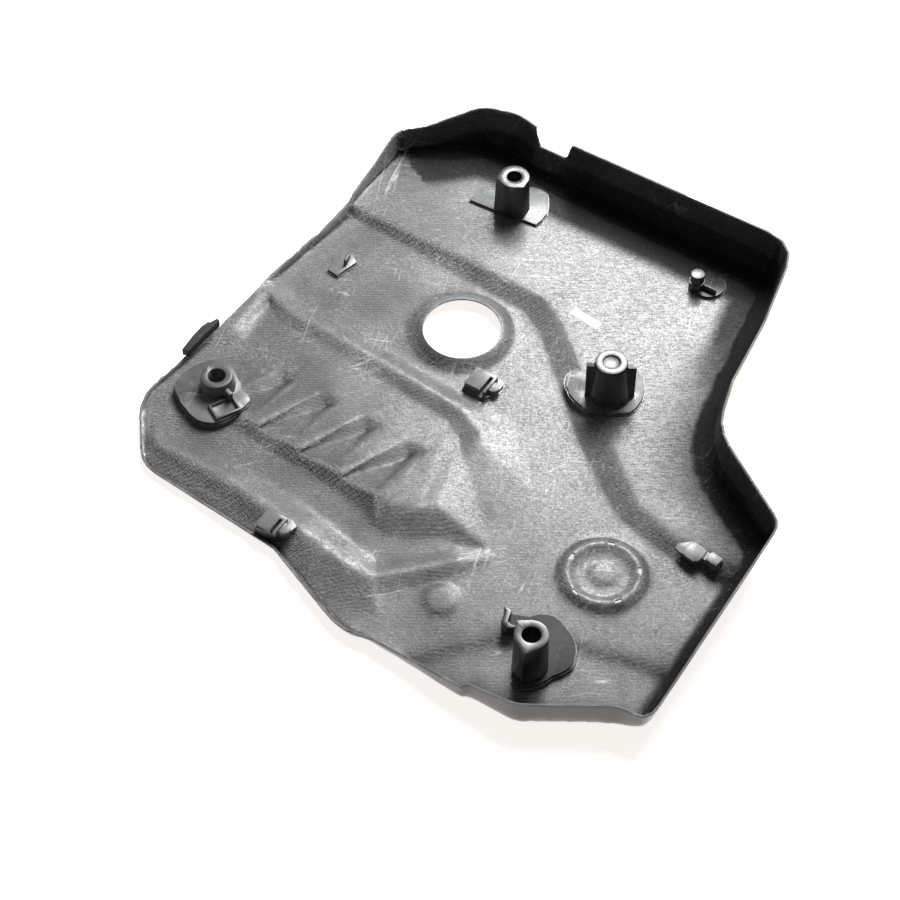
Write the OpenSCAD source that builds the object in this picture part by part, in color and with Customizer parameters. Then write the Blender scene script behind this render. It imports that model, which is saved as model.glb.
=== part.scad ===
// Moulded engine cover, lying on its outer face with its hollow side up.
// The shell is one pressing with a raised panel of louvres, a filler collar
// and a badge seat. Mounting posts and clips are bonded inside it.

/* [Overall] */
// Length of the cover along X
cover_len = 610; // [600:2:640]
// Width of the cover along Y
cover_wid = 604; // [596:2:630]
// Thickness of the moulded wall
wall_t = 2; // [1.6:0.1:2.6]

/* [Rim and walls] */
// Rim height along the low left edge
rim_low = 9.5; // [8.5:0.25:12]
// Rim height along the front edge
rim_front = 37; // [32:1:42]
// Rim height at the tall rear corner
rim_tall = 73; // [68:1:80]
// Rim height inside the harness notch of the rear edge
notch_rim = 47; // [40:1:56]
// Bend radius between floor and tall walls
bend_tall = 20; // [14:1:24]
// Bend radius between floor and front wall
bend_front = 8; // [5:0.5:10]
// Bend radius between floor and low edge
bend_low = 4; // [3:0.5:5]

/* [Floor levels] */
// Height of the main floor above the lowest face
mid_rise = 3; // [2:0.25:4]
// Height of the rear plateau above the main floor
plateau_rise = 8; // [6:0.5:10]

/* [Filler collar] */
// Radius of the oil filler opening
filler_r = 39; // [36:0.5:41]
// Radius of the collar at its foot
collar_foot_r = 52; // [50:0.5:55]
// Height of the collar above the main floor
collar_rise = 7; // [5:0.5:9]

/* [Badge seat] */
// Radius of the badge seat at its crest
badge_r = 34.5; // [33:0.5:37]
// Height of the badge seat crest above the main floor
badge_rise = 6; // [4.5:0.5:7]
// Width of one clip slot in the badge seat
slot_len = 7; // [5:0.5:9]
// Number of clip slots round the badge seat
slot_count = 5; // [3:1:7]

/* [Louvre panel] */
// Distance from one louvre to the next
louvre_pitch = 51; // [47:1:52]
// Number of louvre pockets
louvre_count = 4; // [3:1:4]
// Rise of the louvre field at its lower edge
field_rise = 9; // [7:0.5:10]
// Height of the ridge on the inner side of the panel
ridge_rise = 5; // [4:0.5:6]
// Height of the ridge along the low edge of the cover
front_ridge_rise = 9; // [7:0.5:10]

/* [Mounting posts] */
// Bore radius of the upper post socket
upper_socket_r = 7.8; // [7:0.1:8.5]
// Bore radius of the lower and left post sockets
socket_r = 8.8; // [8:0.1:9.5]
// Depth of every socket bore
socket_depth = 14; // [12:0.5:16]
// Height of the upper post top above the lowest face
upper_post_top = 60; // [54:1:66]
// Height of the centre post top above the lowest face
centre_post_top = 66; // [60:1:70]
// Height of the lower post top above the lowest face
lower_post_top = 58; // [52:1:62]
// Height of the left post top above the lowest face
left_post_top = 29; // [27:1:34]
// Height of the locating stub top above the lowest face
stub_top = 34; // [30:1:40]
// Radius of the locating stub
stub_r = 6.8; // [6:0.1:8]
// Length of the thinner free end of the stub
stub_pin = 10; // [8:0.5:11]
// Outer radius of the round bosses
boss_r = 15.5; // [14:0.5:17]
// Length of the upper post's base plate
upper_plate_len = 77; // [70:1:84]
// Length of the centre post's base plate
centre_plate_len = 78; // [72:1:84]
// Length of the lower post's base plate
lower_plate_len = 80; // [74:1:84]
// Height of the curled flange beside the lower post
flange_rise = 13; // [10:0.5:16]
// Length of the left post's base plate
left_plate_len = 75; // [70:1:78]

/* [Bonded plates] */
// Thickness of the base plates of posts and clips
plate_t = 2.4; // [1.8:0.1:3]
// Thickness of the adhesive under each plate
bond_t = 0.8; // [0.5:0.1:1.2]
// How far the adhesive squeezes out past a plate
bond_out = 1.2; // [0.6:0.2:2]

/* [Clips] */
// Height of a clip's block above its base plate
clip_rise = 7; // [5:0.5:9]
// Width of the slot through a clip
clip_slot = 3.2; // [2.4:0.2:4]
// Length of a snap clip's block along X
clip_len = 24; // [22:0.5:26]

/* [Label and pad] */
// Length of the blank label
label_len = 33; // [28:1:38]
// Width of the blank label
label_wid = 9; // [7:0.5:12]
// Thickness of the blank label
label_t = 0.3; // [0.2:0.05:0.5]
// Height of the foam pad on the low rim
pad_h = 8; // [5:0.5:9]

/* [Hidden] */

eps = 0.01;
carbon = [0.30, 0.30, 0.30];
black_plastic = [0.16, 0.16, 0.17];
grey_plastic = [0.42, 0.43, 0.43];
adhesive = [0.20, 0.20, 0.21];

// Points are given for a cover of this length and width, from its centre
drawn_len = 610;
drawn_wid = 604;
function P(x, y) = [x * cover_len / drawn_len, y * cover_wid / drawn_wid];
function Q(x, y, z) = [x * cover_len / drawn_len, y * cover_wid / drawn_wid, z];

// Levels of the outer face, and of the inner floor one wall above it
plateau_z = mid_rise + plateau_rise;
low_floor = wall_t;
mid_floor = mid_rise + wall_t;
plateau_floor = plateau_z + wall_t;
below = -12;

// Side styles: draft as run over rise, and bend radius
LOW = [0.30, bend_low];
FRONT = [0.05, bend_front];
TALL = [0.20, bend_tall];
REAR = [0.20, 0.7 * bend_tall];

// Upper edge of the step between main floor and plateau, from west to east
step_top = [P(-335, 142), P(-40, 138), P(-12, 122), P(100, 26),
    P(172, -36), P(222, -50), P(335, -52)];
// How far the foot of that step lies from its upper edge
step_run = [[0, -6], [-10, -17], [-12, -16], [-22, -16], [-12, -14], [-7, -11], [0, -11]];

// Line of the small step between main floor and front floor, from west to east
front_step = [P(-335, -215), P(-255, -236), P(-60, -246), P(-22, -260),
    P(12, -288), P(40, -320), P(70, -320), P(78, -290), P(136, -227),
    P(171, -201), P(204, -193), P(246, -182), P(335, -166)];
front_run = [[2.5, -3.5], [2.5, -3.5], [-2, -6], [-18, -14], [-22, -16], [-20, -16], [0, -8],
    [2.5, -3.5], [2.5, -3.5], [2.5, -3.5], [2.5, -3.5], [2.5, -3.5], [2.5, -3.5]];

// Rim corners: place, rim height, side style, rounding length in plan
corners = [
    [P(-305, -182), 7, LOW, 24], [P(-253, -246), 6, LOW, 18],
    [P(-90, -259), rim_low, LOW, 0], [P(14, -302), rim_low + 2.5, LOW, 26],
    [P(44, -296), rim_low + 4.5, LOW, 0], [P(145, -301), rim_front - 12, FRONT, 0],
    [P(150, -297), rim_front - 8, FRONT, 0], [P(198, -297), rim_front, FRONT, 12],
    [P(275, -249), rim_front, FRONT, 8], [P(305, -249), rim_front, TALL, 20],
    [P(305, -174), rim_front + 6, TALL, 0], [P(305, -159), rim_front + 8, TALL, 0],
    [P(305, -66), rim_tall - 21, TALL, 0], [P(305, -46), rim_tall - 19, TALL, 0],
    [P(305, -12), rim_tall - 16, TALL, 12], [P(206, 49), rim_tall - 9, TALL, 22],
    [P(190, 106), rim_tall - 7, TALL, 0], [P(181, 187), rim_tall - 4, TALL, 0],
    [P(160, 290), rim_tall, REAR, 34], [P(-101, 292), rim_tall - 5, REAR, 4],
    [P(-109, 291), notch_rim, REAR, 0], [P(-137, 291), notch_rim, REAR, 0],
    [P(-147, 297), rim_tall - 7, REAR, 0], [P(-172, 302), rim_tall - 6, REAR, 14],
    [P(-212, 293), rim_tall - 9, REAR, 14], [P(-256, 253), rim_tall - 29, REAR, 8],
    [P(-284, 239), rim_tall - 37, LOW, 14], [P(-279, 146), rim_low + 9.5, LOW, 0],
    [P(-278, 130), rim_low + 6.5, LOW, 0], [P(-280, 100), rim_low + 4, LOW, 0],
    [P(-291, 4), rim_low + 1, LOW, 0], [P(-294, -60), rim_low, LOW, 0],
    [P(-297, -112), rim_low, LOW, 0]];
arc_steps = 3;

// Small helpers for points and outlines
function flat(p) = [p[0], p[1]];
function at_z(pts, z) = [for (p = pts) [p[0], p[1], z]];
function between(a, b, s) = a + (b - a) * s;
function unit(v) = v / norm(v);
function middle(pts) = [for (k = [0:2]) let (vals = [for (p = pts) p[k]]) (min(vals) + max(vals)) / 2];
function line_y(line, x) = let (last = len(line) - 1,
    hits = [for (i = [0:last - 1]) if (x >= line[i][0] && x <= line[i + 1][0]) i])
    len(hits) == 0 ? line[last][1] : let (i = hits[0], a = line[i], b = line[i + 1])
    a[1] + (b[1] - a[1]) * (x - a[0]) / (b[0] - a[0]);
// Floor height of the outer face next to a wall point
function floor_at(p) = p[1] > line_y(step_top, p[0]) ? plateau_z :
    p[1] > line_y(front_step, p[0]) ? mid_rise : 0;

// Corner i pushed inwards by a distance square to both of its edges
function pushed(i, d) = let (n = len(corners),
    p = corners[i][0], a = unit(p - corners[(i + n - 1) % n][0]),
    b = unit(corners[(i + 1) % n][0] - p),
    na = [-a[1], a[0]], nb = [-b[1], b[0]])
    p + (na + nb) * d / (1 + na * nb);
function turn(i) = let (n = len(corners), p = corners[i][0],
    a = p - corners[(i + n - 1) % n][0], b = corners[(i + 1) % n][0] - p) a[0] * b[1] - a[1] * b[0];
// One corner as a short curve through its rounding length
function rounded(prev, p, next, r) = r < 1 ? [p] :
    let (s = p + unit(prev - p) * min(r, norm(prev - p) * 0.45),
        e = p + unit(next - p) * min(r, norm(next - p) * 0.45))
    [for (k = [0:arc_steps]) let (t = k / arc_steps) s * pow(1 - t, 2) + p * 2 * t * (1 - t) + e * t * t];
function outline(pts, rs) = let (n = len(pts)) [for (i = [0:n - 1])
    each rounded(pts[(i + n - 1) % n], pts[i], pts[(i + 1) % n], rs[i])];

// Bend radius and draft run at corner i, limited by the height of its wall
function bend_at(i) = let (c = corners[i]) min(c[2][1], 0.6 * (c[1] - floor_at(c[0])));
function run_at(i) = let (c = corners[i]) c[2][0] * (c[1] - floor_at(c[0]) - bend_at(i));

// Loop of the wall surface lying o inside the outer face. The level is
// "floor" for the first loop, an angle for the bend, or "rim" at the top.
function bend_loop(o, angle) = outline(
    [for (i = [0:len(corners) - 1]) let (f = bend_at(i), r = max(f - o, 0.3),
        q = pushed(i, run_at(i) + f - r * sin(angle)))
        [q[0], q[1], floor_at(corners[i][0]) + f - r * cos(angle)]],
    [for (i = [0:len(corners) - 1]) corner_radius(i, run_at(i) + bend_at(i) * (1 - sin(angle)))]);
function corner_radius(i, d) = let (r = corners[i][3])
    r < 1 ? 0 : turn(i) > 0 ? max(r - d, 3) : r + d;
function floor_loop(o) = let (c = outline([for (i = [0:len(corners) - 1])
        let (q = pushed(i, run_at(i) + bend_at(i) + 1)) [q[0], q[1], o]],
    [for (i = [0:len(corners) - 1]) corner_radius(i, run_at(i) + bend_at(i))])) c;
function rim_loop(inset, lift) = outline([for (i = [0:len(corners) - 1])
        let (q = pushed(i, inset)) [q[0], q[1], corners[i][1] + lift]],
    [for (i = [0:len(corners) - 1]) corner_radius(i, inset)]);

// Middle of the finished rim, which is brought over the origin
rim_box = middle(rim_loop(0, 0));
module placed() {
    translate([-rim_box[0], -rim_box[1], 0]) children();
}

// Sense in which a loop of points runs, as a vector square to it
function total(l, i = 0, acc = [0, 0, 0]) = i == len(l) ? acc : total(l, i + 1, acc + l[i]);
function sense(l) = let (n = len(l)) total([for (i = [0:n - 1]) cross(l[i] - l[0], l[(i + 1) % n] - l[0])]);
function backwards(l) = [for (i = [len(l) - 1:-1:0]) l[i]];

// Closed solid through a stack of loops of equal length, capped by fans
module stack(given, low_centre, high_centre) {
    n = len(given[0]);
    m = len(given);
    rising = sense(given[0]) * (middle(given[1]) - middle(given[0])) > 0;
    loops = rising ? given : [for (l = given) backwards(l)];
    points = concat([for (l = loops) each l], [low_centre, high_centre]);
    sides = [for (k = [0:m - 2]) for (i = [0:n - 1]) let (j = (i + 1) % n, a = k * n, b = a + n)
        each [[a + i, b + i, b + j], [a + i, b + j, a + j]]];
    low = [for (i = [0:n - 1]) [m * n, i, (i + 1) % n]];
    high = [for (i = [0:n - 1]) [m * n + 1, (m - 1) * n + (i + 1) % n, (m - 1) * n + i]];
    polyhedron(points = points, faces = concat(sides, low, high), convexity = 6);
}

// Solid that rises from below the part to a loop of points with their own
// heights. The foot of each slope is carried on past the floor it stands on.
module relief(foot, top, floor_z, centre) {
    sunk = [for (i = [0:len(top) - 1]) let (s = 0.12, f = [foot[i][0], foot[i][1], floor_z])
        f + (f - top[i]) * s];
    stack([at_z(sunk, below), sunk, top], [centre[0], centre[1], below], centre);
}

// Ridge along a row of stations, each an outer foot, a crest and an inner foot
module ridge(stations) {
    loops = [for (s = stations) let (a = s[0], c = s[1], b = s[2],
        ao = a + (a - c) * 0.12, bo = b + (b - c) * 0.12)
        [ao, c, bo, [bo[0], bo[1], below], [ao[0], ao[1], below]]];
    last = len(loops) - 1;
    stack(loops, middle(loops[0]), middle(loops[last]));
}

// Filled body of the cover up to its rim, lying o inside the outer face
module filled_tray(o) {
    angles = [0, 30, 60, 90];
    lift = o > 0 ? 2 : 0;
    rim = o > 0 ? [rim_loop(o - 0.3, lift)] : [rim_loop(0, 0), rim_loop(3, 0)];
    loops = concat([floor_loop(o)], [for (a = angles) bend_loop(o, a)], rim, [rim_loop(12, 18 + lift)]);
    stack(loops, [0, 0, o], [0, 0, rim_tall + 30 + lift]);
}

// Louvre field in plan: west and east ends of its valley and lower edge
valley_w = [-209, -25];
valley_e = [-36, -40];
edge_w = [-209, -147];
edge_e = [-24, -159];
valley_z = mid_rise + 1;
field_z = mid_rise + field_rise;
field_low_z = field_z - 3;
function along(a, b, x) = a[1] + (b[1] - a[1]) * (x - a[0]) / (b[0] - a[0]);
// Level of the field at a place, on one of its two flat halves
function field_level(x, y) = let (v = along(valley_w, valley_e, x), e = along(edge_w, edge_e, x),
    s = (x - edge_w[0]) / (edge_e[0] - edge_w[0]), t = (y - v) / (e - v),
    low = field_low_z - valley_z, full = field_z - valley_z)
    valley_z + (s < t ? t * low + s * (full - low) : t * full);

module main_floor() {
    far = [P(335, 332), P(-335, 332)];
    top = concat(at_z(front_step, mid_rise), at_z(far, mid_rise));
    foot = concat(front_step + front_run, far);
    relief(foot, top, 0, [0, 0, mid_rise]);
}

module plateau() {
    far = [P(335, 332), P(-335, 332)];
    top = concat(at_z(step_top, plateau_z), at_z(far, plateau_z));
    foot = concat(step_top + step_run, far);
    relief(foot, top, mid_rise, Q(150, 180, plateau_z));
}

// Section of the panel: rear foot, crest, valley, lower edge, lip and foot
function carried(foot, top) = foot + (foot - top) * 0.12;
function section(foot, crest, valley, edge, lip, edge_foot) = [
    carried(foot, crest), crest, valley, edge, lip, carried(edge_foot, lip),
    [edge_foot[0], edge_foot[1], below], [foot[0], foot[1], below]];
// Section with no lip of its own on the slope below its edge
function plain(foot, crest, valley, edge, edge_foot) = section(foot, crest, valley, edge,
    between(edge, edge_foot, 0.5), edge_foot);
// Section where only the ridge stands above the floor
function ridge_section(foot, crest, inner) = let (v = carried(inner, crest), d = (v - crest) * 0.1)
    plain(foot, crest, v, [v[0] + d[0], v[1] + d[1], 1], [v[0] + 2 * d[0], v[1] + 2 * d[1], 0.5]);

// Ridge that runs out through the low rim, turns the rear corner, passes
// the louvres and ends in a hip whose facets fall to the filler side
module panel() {
    m = mid_rise;
    crest = m + ridge_rise;
    bench = min(crest - 1, rim_low - wall_t - 0.5);
    sections = [
        ridge_section(Q(-322, -98, m - 1.4), Q(-285, -97, m - 1), Q(-270, -95, m - 2)),
        ridge_section(Q(-322, -62, bench), Q(-280, -64, bench + 0.5), Q(-262, -66, m)),
        ridge_section(Q(-322, 6, bench), Q(-279, -2, crest), Q(-270, -9, m)),
        ridge_section(Q(-282, 22, m), Q(-273, -3, crest), Q(-260, -17, m)),
        plain(Q(-250, 9, m), Q(-250, -10, crest), Q(-250, -23, m - 1),
            Q(-252, -92, m - 1), Q(-252, -95, m - 1.2)),
        plain(Q(-209, 6, m), Q(-209, -12, crest), Q(valley_w[0], valley_w[1], valley_z),
            Q(edge_w[0], edge_w[1], field_low_z), Q(-209, -160, m)),
        plain(Q(-45, -4, m), Q(-48, -23.5, crest), Q(-50, along(valley_w, valley_e, -50), valley_z),
            Q(-46, along(edge_w, edge_e, -46), field_z - 0.4), Q(-42, -172, m)),
        section(Q(-15, -6, m), Q(-30, -25, crest), Q(valley_e[0], valley_e[1], valley_z),
            Q(edge_e[0], edge_e[1], field_z), Q(-31, -176, m + 5), Q(-26, -185, m)),
        section(Q(12, -14, m), Q(0, -40, crest), Q(-14, -54, m + 1.6),
            Q(0, -152, field_z), Q(-16, -175, m + 5), Q(-7, -186, m)),
        section(Q(80, -68, m), Q(15, -53, crest - 0.5), Q(7, -80, m + 3.4),
            Q(15, -140, field_z), Q(20, -145, m + 6), Q(38, -158, m))];
    difference() {
        stack(sections, middle(sections[0]), Q(84, -150, m - 0.3));
        for (k = [0:louvre_count - 1]) louvre_pocket(k);
    }
}

// Pocket of louvre k: deepest just in front of its rear edge, open to the
// front, with a small step along its west side
louvre_x = valley_w[0];
louvre_y = -74;
module louvre_pocket(k) {
    x = louvre_x + k * louvre_pitch;
    y = louvre_y - 3 * k;
    front_w = along(edge_w, edge_e, x - 26) - 3;
    front_e = along(edge_w, edge_e, x + 12) - 3;
    side = between([x, y], [x - 26, front_w], 0.4);
    low = [for (c = [[x, y, 0.3], [side[0], side[1], -0.8], [x - 26, front_w, -2.6],
            [x + 12, front_e, 0.3], [x + 23, y - 1, 0.3]])
        Q(c[0], c[1], field_level(c[0], c[1]) + c[2])];
    stack([low, at_z(low, field_z + 12)], Q(x + 13, y - 15, field_level(x + 13, y - 15) - 4.6),
        Q(x + 6, y - 30, field_z + 12));
}

// Ridge on the front side, falling away to the low rim
module front_ridge() {
    m = mid_rise;
    f = m + front_ridge_rise;
    ridge([[Q(-278, -210, 0), Q(-274, -204, m + 1), Q(-270, -194, m)],
        [Q(-250, -238, 0), Q(-256, -218, f - 2), Q(-244, -196, m)],
        [Q(-177, -241, 0), Q(-166, -221, f), Q(-166, -194, m)],
        [Q(-88, -251, 0), Q(-78, -231, f), Q(-84, -200, m)],
        [Q(-20, -282, 0), Q(-26, -238, f - 1.5), Q(-36, -210, m)],
        [Q(18, -290, 0), Q(6, -236, f - 3.5), Q(-4, -216, m)],
        [Q(47, -286, 0), Q(31, -260, m + 0.5), Q(17, -226, m)]]);
}

// Narrow bead that runs from the front ridge towards the badge seat
module front_bead() {
    m = mid_rise;
    crest = m + 0.8 * ridge_rise;
    ridge([[Q(17, -250, m), Q(1, -240, crest + 1), Q(-5, -222, m)],
        [Q(70, -187, m), Q(62, -178, crest), Q(47, -168, m)],
        [Q(91, -156, m), Q(85, -152, m + 1.5), Q(75, -147, m)]]);
}

filler_at = P(-87, 61);
badge_at = P(182, -117);

// All raised and sunk forms of the pressing, seen from inside
module reliefs() {
    main_floor();
    plateau();
    panel();
    front_ridge();
    front_bead();
    // Collar of the filler opening
    translate([filler_at[0], filler_at[1], mid_rise - 1])
        cylinder(h = collar_rise + 1, r1 = collar_foot_r + 1.5, r2 = filler_r + 2.5, $fn = 96);
    // Badge seat with its dished middle
    translate([badge_at[0], badge_at[1], 0]) rotate_extrude($fn = 96)
        polygon([[0, below], [badge_r + 8, below], [badge_r + 8, mid_rise - 0.5],
            [badge_r + 1, mid_rise + badge_rise], [badge_r - 1, mid_rise + badge_rise],
            [badge_r - 9, mid_rise + badge_rise - 3.2], [15, mid_rise + badge_rise - 3.6],
            [10, mid_rise + badge_rise - 2], [0, mid_rise + badge_rise - 1.6]]);
    // Low round swelling between panel and lower post
    translate(Q(72, -220, 0)) cylinder(h = mid_rise + 2.5, r1 = 24 + mid_rise, r2 = 12, $fn = 48);
}

module shell() color(carbon) placed() difference() {
    difference() {
        filled_tray(0);
        reliefs();
    }
    difference() {
        filled_tray(wall_t);
        translate([0, 0, wall_t]) reliefs();
    }
    translate([filler_at[0], filler_at[1], below]) cylinder(h = 60, r = filler_r, $fn = 96);
    for (k = [0:slot_count - 1]) translate([badge_at[0], badge_at[1], 0])
        rotate((k + 0.5) * 360 / slot_count) translate([badge_r - 2, -slot_len / 2, 0])
            cube([3.2, slot_len, 30]);
}

// Outlines of the base plates, each about its own post and scaled to its length
function sized(pts, drawn, len) = [for (p = pts) p * len / drawn];
upper_at = P(-131, 227);
upper_plate = sized([[-43, -16], [33, -9], [34, 11], [20, 35], [2, 35], [-14, 14], [-27, 9], [-41, 8]],
    77, upper_plate_len);
centre_at = P(81, 63);
centre_plate = sized([[-48, 4], [-45, -8], [-37, -15], [-33, -19], [-14, -26], [1, -27], [10, -22],
    [18, -15], [28, -7], [30, 6], [27, 21], [21, 31], [9, 42], [-2, 46], [-12, 36], [-24, 24],
    [-36, 12], [-43, 11]], 78, centre_plate_len);
lower_at = P(178.5, -239);
lower_plate = sized([[-4.5, -21], [7, -23], [18, -9], [22, 2], [31, 19], [28, 31], [22, 42], [4, 53],
    [-10, 57], [-23, 51], [-31, 36], [-22, 20], [-12, -4]],
    80, lower_plate_len);
left_at = P(-245.5, -132);
left_plate = sized([[-34, -24], [-24, -32], [-11, -39], [8, -45], [22, -41], [31, -30], [36, -12],
    [37, 3], [22, 9], [8, 20], [-12, 30], [-28, 20], [-37, -1], [-38, -13]],
    75, left_plate_len);
stub_at = P(82, 234);

// A little bite and wave along the cut edge of a plate
function rough(pts) = [for (i = [0:len(pts) - 1])
    let (p = pts[i], q = pts[(i + 1) % len(pts)], d = unit(q - p), s = norm(q - p))
        each [p, between(p, q, 0.45) + [d[1], -d[0]] * min(1.2, s * 0.07)]];
// An outline grown by a distance, corner by corner
function grown(pts, d) = let (n = len(pts)) [for (i = [0:n - 1])
    let (a = unit(pts[i] - pts[(i + n - 1) % n]), b = unit(pts[(i + 1) % n] - pts[i]),
        na = [a[1], -a[0]], nb = [b[1], -b[0]]) pts[i] + (na + nb) * d / max(1 + na * nb, 0.8)];

module plate(pts, z) {
    translate([0, 0, z]) linear_extrude(plate_t) polygon(rough(pts));
}
module bond(pts, z) {
    translate([0, 0, z]) linear_extrude(bond_t) polygon(grown(rough(pts), bond_out));
}

upper_z = plateau_floor + bond_t;
// Round socket bored down from the top of a post
module socket(top, r) {
    translate([0, 0, top - socket_depth]) cylinder(h = socket_depth + 1, r = r, $fn = 48);
}
module d_profile(r, front) {
    circle(r, $fn = 32);
    translate([-r, -front]) square([2 * r, front]);
}
module upper_post() color(black_plastic) placed() translate([upper_at[0], upper_at[1], 0]) difference() {
    union() {
        plate(upper_plate, upper_z);
        rotate(5) hull() {
            translate([0, 0, upper_z + eps]) linear_extrude(1) d_profile(boss_r + 1.5, 11);
            translate([0, 0, upper_post_top - 1]) linear_extrude(1) d_profile(boss_r, 9.5);
        }
    }
    socket(upper_post_top, upper_socket_r);
}
module upper_bond() color(adhesive) placed() translate([upper_at[0], upper_at[1], 0])
    bond(upper_plate, plateau_floor);

module centre_post() color(black_plastic) placed() translate([centre_at[0], centre_at[1], 0]) difference() {
    union() {
        plate(centre_plate, upper_z);
        translate([0, 0, upper_z])
            cylinder(h = centre_post_top - upper_z, r1 = boss_r + 4.5, r2 = boss_r, $fn = 64);
        rotate(213) translate([0, -2.5, upper_z]) cube([boss_r + 8, 5, centre_post_top - upper_z - 4]);
        rotate(30) translate([0, -0.8, upper_z]) cube([boss_r + 9, 1.6, centre_post_top - upper_z - 8]);
    }
    translate([0, 0, centre_post_top - 1.2]) cylinder(h = 3, r = 8.2, $fn = 48);
}
module centre_bond() color(adhesive) placed() difference() {
    translate([centre_at[0], centre_at[1], 0]) translate([0, 0, mid_floor + 2])
        linear_extrude(upper_z - mid_floor - 2) polygon(grown(rough(centre_plate), bond_out));
    translate([0, 0, wall_t]) plateau();
}

lower_z = mid_floor + bond_t;
lower_curl = sized([[-50, 36], [-46, 33], [-43, 20], [-36, 17], [-31, 20], [-29, 24], [-34, 22],
    [-39, 24], [-42, 36]], 80, lower_plate_len);
lower_tab = sized([[-50, 36], [-43, 20], [-20, 24], [-24, 46]], 80, lower_plate_len);
module teardrop(r) {
    circle(r, $fn = 32);
    translate([5, -19]) circle(1.5, $fn = 16);
    translate([-17, 5]) circle(2, $fn = 16);
}
module lower_post() color(black_plastic) placed() translate([lower_at[0], lower_at[1], 0]) difference() {
    union() {
        plate(lower_plate, lower_z);
        hull() {
            translate([0, 0, lower_z + eps]) linear_extrude(1) teardrop(boss_r + 1);
            translate([0, 0, lower_post_top - 1]) linear_extrude(1) teardrop(boss_r);
        }
        // Curled flange at the west end of the plate
        translate([0, 0, lower_z]) linear_extrude(flange_rise) polygon(lower_curl);
        translate([0, 0, lower_z]) linear_extrude(plate_t) polygon(lower_tab);
    }
    socket(lower_post_top, socket_r);
}
// The adhesive also fills the small step of the floor under this plate
module lower_bond() color(adhesive) placed() difference() {
    translate([lower_at[0], lower_at[1], low_floor]) linear_extrude(lower_z - low_floor)
        polygon(grown(rough(lower_plate), bond_out));
    translate([0, 0, wall_t]) main_floor();
}

// The left plate bridges the low west end of the panel on a bed of adhesive
left_z = field_low_z + wall_t + 0.2;
module left_post() color(grey_plastic) placed() translate([left_at[0], left_at[1], 0]) difference() {
    union() {
        plate(left_plate, left_z);
        translate([0, 0, left_z])
            cylinder(h = left_post_top - left_z, r1 = boss_r + 2.5, r2 = boss_r, $fn = 64);
        // Frame of a cut latch beside the boss
        translate([20, -23, left_z]) rotate(62) difference() {
            translate([-9, -11, 0]) cube([27, 20, plate_t + 3]);
            translate([-6.5, -8.5, plate_t]) cube([22, 15, 10]);
        }
        rotate(-20) translate([boss_r - 3, -2, left_z]) cube([12, 4, left_post_top - left_z - 5]);
    }
    socket(left_post_top, socket_r);
}
module left_bond() color(adhesive) placed() difference() {
    translate([left_at[0], left_at[1], mid_floor - 0.5]) linear_extrude(left_z - mid_floor + 0.5)
        polygon(grown(rough(left_plate), bond_out));
    translate([0, 0, wall_t]) main_floor();
    translate([0, 0, wall_t]) panel();
}

module stub_disc(r) {
    translate([9, 8]) circle(r, $fn = 24);
}
module locating_stub() color(grey_plastic) placed() translate([stub_at[0], stub_at[1], 0]) {
    translate([0, 0, upper_z]) {
        linear_extrude(plate_t) stub_disc(17);
        cylinder(h = stub_top - stub_pin - upper_z, r = stub_r + 1.4, $fn = 48);
        cylinder(h = stub_top - upper_z, r = stub_r, $fn = 48);
        translate([0, -1, 0]) cube([22, 2, min(9, stub_top - stub_pin - upper_z - 0.5)]);
    }
}
module stub_bond() color(adhesive) placed() translate([stub_at[0], stub_at[1], plateau_floor])
    linear_extrude(bond_t) stub_disc(17 + bond_out);

// Snap clip: a base plate, a slotted block and a rounded tongue beside it
module clip(base, block, tongue_x, tongue_r, rise) {
    linear_extrude(plate_t) polygon(base);
    difference() {
        translate([block[0], block[1], 0]) cube([block[2], block[3], plate_t + rise]);
        translate([block[0] + block[2] - clip_slot - 3, block[1] - 1, plate_t])
            cube([clip_slot, block[3] - 3, rise + 1]);
    }
    translate([tongue_x, block[1] + block[3] / 2, 0])
        cylinder(h = plate_t + rise - 2, r = tongue_r, $fn = 32);
}

rear_clip_at = P(-239, 70);
rear_base = [[-7, -14], [6, -16], [8, -4], [12, 10], [3, 17], [-10, 14], [-12, -1]];
module rear_clip() color(grey_plastic) placed()
    translate([rear_clip_at[0], rear_clip_at[1], mid_floor + bond_t]) {
        linear_extrude(plate_t) polygon(rear_base);
        translate([3, 0, 0]) rotate(14) cube([3, 12, plate_t + clip_rise]);
    }
module rear_clip_bond() color(adhesive) placed() translate([rear_clip_at[0], rear_clip_at[1], 0])
    bond(rear_base, mid_floor);

middle_clip_at = P(-35, 14);
middle_base = sized([[-12, -15], [12, -16], [20, -6], [20, 10], [12, 16], [-6, 16], [-14, 8]],
    24, clip_len);
module middle_clip() color(grey_plastic) placed()
    translate([middle_clip_at[0], middle_clip_at[1], mid_floor + bond_t])
        clip(middle_base, [-11, -13, clip_len, clip_len], 15, 6, clip_rise);
module middle_clip_bond() color(adhesive) placed() translate([middle_clip_at[0], middle_clip_at[1], 0])
    bond(middle_base, mid_floor);

// This clip straddles the sloping strip, so its adhesive is a wedge
front_clip_at = P(-103, -239);
front_clip_z = mid_floor + front_ridge_rise + bond_t;
front_base = sized([[-12, -14], [8, -12], [20, -2], [22, 8], [14, 12], [-10, 10]], 24, clip_len);
module front_clip() color(grey_plastic) placed()
    translate([front_clip_at[0], front_clip_at[1], front_clip_z])
        clip(front_base, [-10, -12, clip_len - 2, clip_len - 4], 15, 6, clip_rise - 2);
module front_clip_bond() color(adhesive) placed() difference() {
    translate([front_clip_at[0], front_clip_at[1], mid_floor]) linear_extrude(front_clip_z - mid_floor)
        polygon(front_base);
    translate([0, 0, wall_t]) front_ridge();
}

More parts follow.
